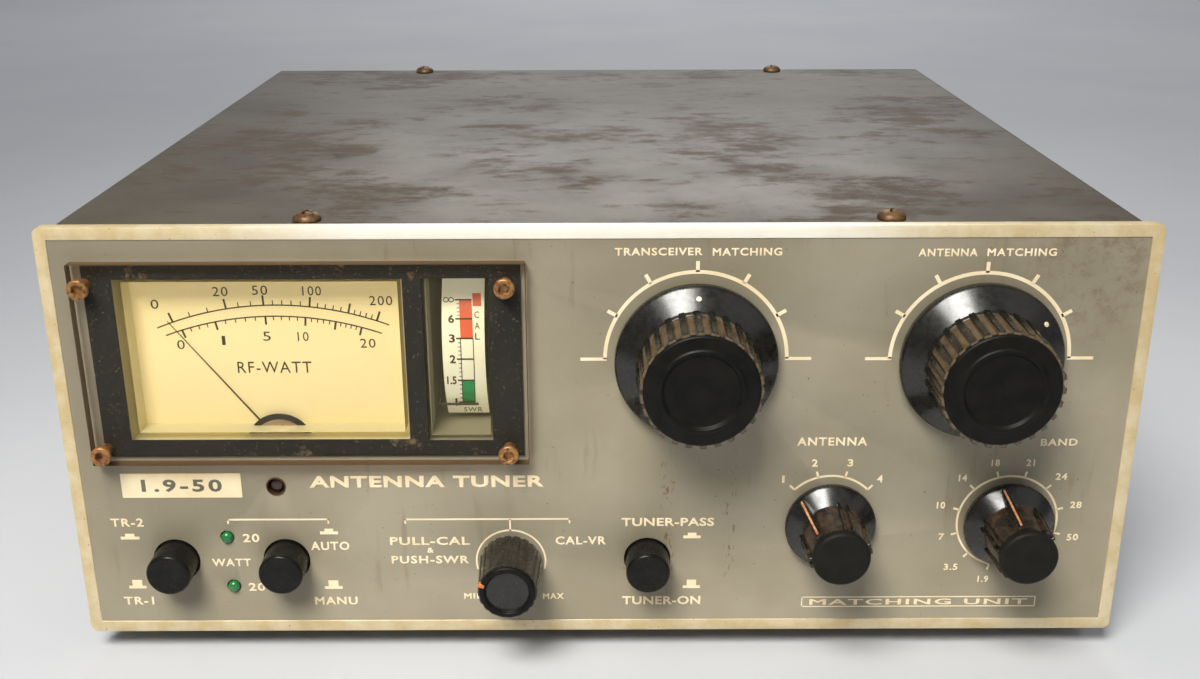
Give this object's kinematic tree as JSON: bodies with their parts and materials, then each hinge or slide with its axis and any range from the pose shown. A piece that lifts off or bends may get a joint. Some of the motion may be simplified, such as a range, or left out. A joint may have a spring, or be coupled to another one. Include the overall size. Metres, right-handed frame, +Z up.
{
  "type": "antenna tuner",
  "caption": "Desktop antenna matching unit: metal case, front panel with two meters, turning knobs and push buttons, rear coaxial sockets.",
  "frame": {"origin": "middle of the space the unit takes up, on the surface it stands on", "axes": "+Z up, +Y from the front panel to the rear, +X to the right of someone facing the panel"},
  "size_m": [0.25, 0.2676, 0.1093],
  "materials": {
    "panel_paint": "warm grey enamel on aluminium, bare champagne border",
    "zinc_plate": "zinc-plated sheet steel",
    "cover_steel": "plain steel sheet with brown rust stains",
    "window_acrylic": "clear acrylic",
    "meter_housing": "clear moulding, yellowed",
    "black_moulding": "black moulding",
    "meter_dial": "pale yellow print ground",
    "meter_metal": "black enamel",
    "needle_paint": "black needle",
    "capacitor_aluminium": "bare sheet",
    "knob_black": "black phenolic with brown grime in its flutes",
    "button_black": "smooth black",
    "switch_board": "brown laminate",
    "shaft_steel": "turned steel",
    "green_lens": "translucent green",
    "red_lens": "dark translucent red",
    "terminal_brass": "tarnished",
    "coil_copper": "enamelled copper turns",
    "socket_nickel": "dull nickel plate",
    "foot_rubber": "moulded",
    "cover_screw_brass": "rusted plating",
    "window_screw_copper": "corroded plating, copper coloured"
  },
  "bodies": {
    "case": {"antenna_socket_1": "socket_nickel", "antenna_socket_2": "socket_nickel", "antenna_socket_3": "socket_nickel", "antenna_socket_4": "socket_nickel", "antenna_switch_body": "switch_board", "band_switch_body": "switch_board", "cal_potentiometer": "zinc_plate", "chassis": "zinc_plate", "circuit_board": "switch_board", "cover_screw_front_left": "cover_screw_brass", "cover_screw_front_right": "cover_screw_brass", "cover_screw_rear_left": "cover_screw_brass", "cover_screw_rear_right": "cover_screw_brass", "earth_terminal": "terminal_brass", "foot_front_left": "foot_rubber", "foot_front_right": "foot_rubber", "foot_rear_left": "foot_rubber", "foot_rear_right": "foot_rubber", "front_panel": "panel_paint", "high_range_lamp": "green_lens", "low_range_lamp": "green_lens", "matching_capacitor_frame": "capacitor_aluminium", "matching_capacitor_stator": "capacitor_aluminium", "meter_window": "window_acrylic", "pilot_lamp": "red_lens", "swr_meter_case": "meter_housing", "swr_meter_dial": "meter_dial", "top_cover": "cover_steel", "transceiver_button_switch": "black_moulding", "transceiver_capacitor_frame": "capacitor_aluminium", "transceiver_capacitor_stator": "capacitor_aluminium", "transceiver_socket_1": "socket_nickel", "transceiver_socket_2": "socket_nickel", "tuner_button_switch": "black_moulding", "tuning_coil": "coil_copper", "watt_button_switch": "black_moulding", "watt_meter_base": "black_moulding", "watt_meter_bridge": "meter_metal", "watt_meter_case": "meter_housing", "watt_meter_dial": "meter_dial", "window_screw_lower_left": "window_screw_copper", "window_screw_lower_right": "window_screw_copper", "window_screw_upper_left": "window_screw_copper", "window_screw_upper_right": "window_screw_copper"},
    "transceiver_tuning": {"transceiver_knob": "knob_black", "transceiver_capacitor_rotor": "capacitor_aluminium"},
    "antenna_tuning": {"matching_knob": "knob_black", "matching_capacitor_rotor": "capacitor_aluminium"},
    "antenna_selector": {"antenna_switch_knob": "knob_black", "antenna_switch_rotor": "shaft_steel"},
    "band_selector": {"band_switch_knob": "knob_black", "band_switch_rotor": "shaft_steel"},
    "cal_carriage": {"cal_plunger": "black_moulding"},
    "cal_control": {"cal_knob": "knob_black", "cal_shaft": "shaft_steel"},
    "transceiver_push": {"transceiver_button": "button_black"},
    "watt_push": {"watt_button": "button_black"},
    "tuner_push": {"tuner_button": "button_black"},
    "watt_pointer": {"watt_meter_needle": "needle_paint"},
    "swr_pointer": {"swr_meter_needle": "needle_paint"}
  },
  "joints": [
    {"name": "transceiver_matching_turn", "type": "hinge", "parent": "case", "child": "transceiver_tuning", "pos_m": [0.0219, -0.11355, 0.0763], "axis": [0, 1, 0], "range_deg": [-90, 90]},
    {"name": "antenna_matching_turn", "type": "hinge", "parent": "case", "child": "antenna_tuning", "pos_m": [0.0865, -0.11355, 0.0763], "axis": [0, 1, 0], "range_deg": [-142, 38]},
    {"name": "antenna_select_turn", "type": "hinge", "parent": "case", "child": "antenna_selector", "pos_m": [0.0546, -0.11355, 0.0346], "axis": [0, 1, 0], "range_deg": [0, 90]},
    {"name": "band_select_turn", "type": "hinge", "parent": "case", "child": "band_selector", "pos_m": [0.097, -0.11355, 0.0346], "axis": [0, 1, 0], "range_deg": [-150, 120]},
    {"name": "cal_pull", "type": "slide", "parent": "case", "child": "cal_carriage", "axis": [0, -1, 0], "range_m": [0, 0.005]},
    {"name": "cal_turn", "type": "hinge", "parent": "cal_carriage", "child": "cal_control", "pos_m": [-0.0215, -0.11355, 0.0244], "axis": [0, 1, 0], "range_deg": [-78, 222]},
    {"name": "transceiver_press", "type": "slide", "parent": "case", "child": "transceiver_push", "axis": [0, 1, 0], "range_m": [0, 0.003], "stiffness_N_per_m": 300},
    {"name": "watt_press", "type": "slide", "parent": "case", "child": "watt_push", "axis": [0, 1, 0], "range_m": [0, 0.003], "stiffness_N_per_m": 300},
    {"name": "tuner_press", "type": "slide", "parent": "case", "child": "tuner_push", "axis": [0, 1, 0], "range_m": [0, 0.003], "stiffness_N_per_m": 300},
    {"name": "watt_needle_turn", "type": "hinge", "parent": "case", "child": "watt_pointer", "pos_m": [-0.0757, -0.10725, 0.0528], "axis": [0, 1, 0], "range_deg": [0, 74.3], "stiffness_Nm_per_rad": 0.0002},
    {"name": "swr_needle_turn", "type": "hinge", "parent": "case", "child": "swr_pointer", "pos_m": [-0.0381, -0.08255, 0.0763], "axis": [-1, 0, 0], "range_deg": [0, 58], "stiffness_Nm_per_rad": 0.0002}
  ]
}
